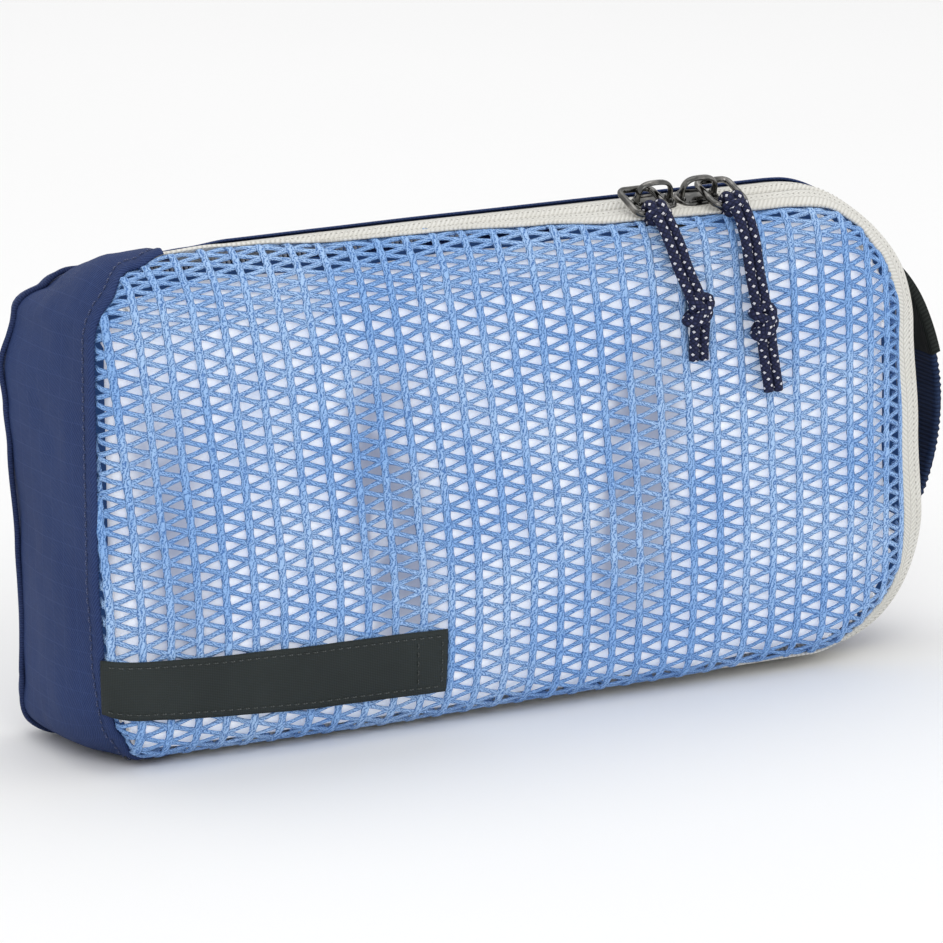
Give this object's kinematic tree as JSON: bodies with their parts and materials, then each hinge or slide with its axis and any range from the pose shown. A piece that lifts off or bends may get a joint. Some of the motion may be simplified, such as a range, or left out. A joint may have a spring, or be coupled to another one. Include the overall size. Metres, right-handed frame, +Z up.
{
  "type": "packing cube",
  "caption": "Slim standing packing cube with a woven case, a see-through mesh front on a wrap-round zip, corded pulls and a side grab handle.",
  "frame": {"origin": "middle of the flat base that the case stands on, at mid length and mid depth of the case without its handle", "axes": "+X along the case towards the grab handle, +Y towards the woven back, +Z up"},
  "size_m": [0.2619, 0.0635, 0.1311],
  "materials": {
    "navy_woven": "fine twill-faced woven polyester, navy",
    "navy_binding": "ribbed binding tape, navy",
    "zip_tape": "herringbone zip tape, off-white",
    "zip_coil": "nylon coil, off-white",
    "navy_thread": "sewing thread, navy",
    "navy_webbing": "ribbed webbing, navy",
    "black_tab": "plain woven tab, black",
    "blue_mesh": "open knitted mesh, sky blue",
    "white_tissue": "crumpled tissue, white",
    "black_label": "satin woven label, black",
    "black_thread": "sewing thread, black",
    "gunmetal": "polished black nickel on zinc",
    "pull_cord": "braided cord, navy with white flecks"
  },
  "bodies": {
    "case": {"back_panel": "navy_woven", "top_gusset": "navy_woven", "nose_gusset": "navy_woven", "bottom_gusset": "navy_woven", "end_panel": "navy_woven", "end_seam_fold": "navy_woven", "back_binding": "navy_binding", "back_tape": "zip_tape", "back_coil": "zip_coil", "zip_bartacks": "navy_thread", "handle_strap": "navy_webbing", "handle_cover": "black_tab"},
    "mesh_front": {"mesh_panel": "blue_mesh", "front_tape": "zip_tape", "front_coil": "zip_coil", "tissue_filler": "white_tissue", "label_tab": "black_label", "label_stitching": "black_thread"},
    "left_slider": {"left_slider": "gunmetal", "left_crown": "gunmetal"},
    "left_ring": {"left_ring": "gunmetal"},
    "left_cord": {"left_hitch": "pull_cord", "left_cord_inner": "pull_cord", "left_cord_outer": "pull_cord", "left_knot": "pull_cord"},
    "right_slider": {"right_slider": "gunmetal", "right_crown": "gunmetal"},
    "right_ring": {"right_ring": "gunmetal"},
    "right_cord": {"right_hitch": "pull_cord", "right_cord_inner": "pull_cord", "right_cord_outer": "pull_cord", "right_knot": "pull_cord"}
  },
  "joints": [
    {"name": "mesh_front_hinge", "type": "hinge", "parent": "case", "child": "mesh_front", "pos_m": [-0.123, -0.02065, 0], "axis": [0, 0, -1], "range_deg": [0, 110]},
    {"name": "left_slider_slide", "type": "slide", "parent": "mesh_front", "child": "left_slider", "axis": [1, 0, 0], "range_m": [-0.125, 0]},
    {"name": "right_slider_slide", "type": "slide", "parent": "mesh_front", "child": "right_slider", "axis": [1, 0, 0], "range_m": [0, 0.022]},
    {"name": "left_ring_lift", "type": "hinge", "parent": "left_slider", "child": "left_ring", "pos_m": [0.03825, -0.01154, 0.12853], "axis": [-1, 0, 0], "range_deg": [0, 18]},
    {"name": "left_cord_swing", "type": "hinge", "parent": "left_ring", "child": "left_cord", "pos_m": [0.03825, -0.02193, 0.12433], "axis": [-1, 0, 0], "range_deg": [0, 90]},
    {"name": "right_ring_lift", "type": "hinge", "parent": "right_slider", "child": "right_ring", "pos_m": [0.06075, -0.01154, 0.12853], "axis": [-1, 0, 0], "range_deg": [0, 18]},
    {"name": "right_cord_swing", "type": "hinge", "parent": "right_ring", "child": "right_cord", "pos_m": [0.06075, -0.02193, 0.12433], "axis": [-1, 0, 0], "range_deg": [0, 90]}
  ]
}
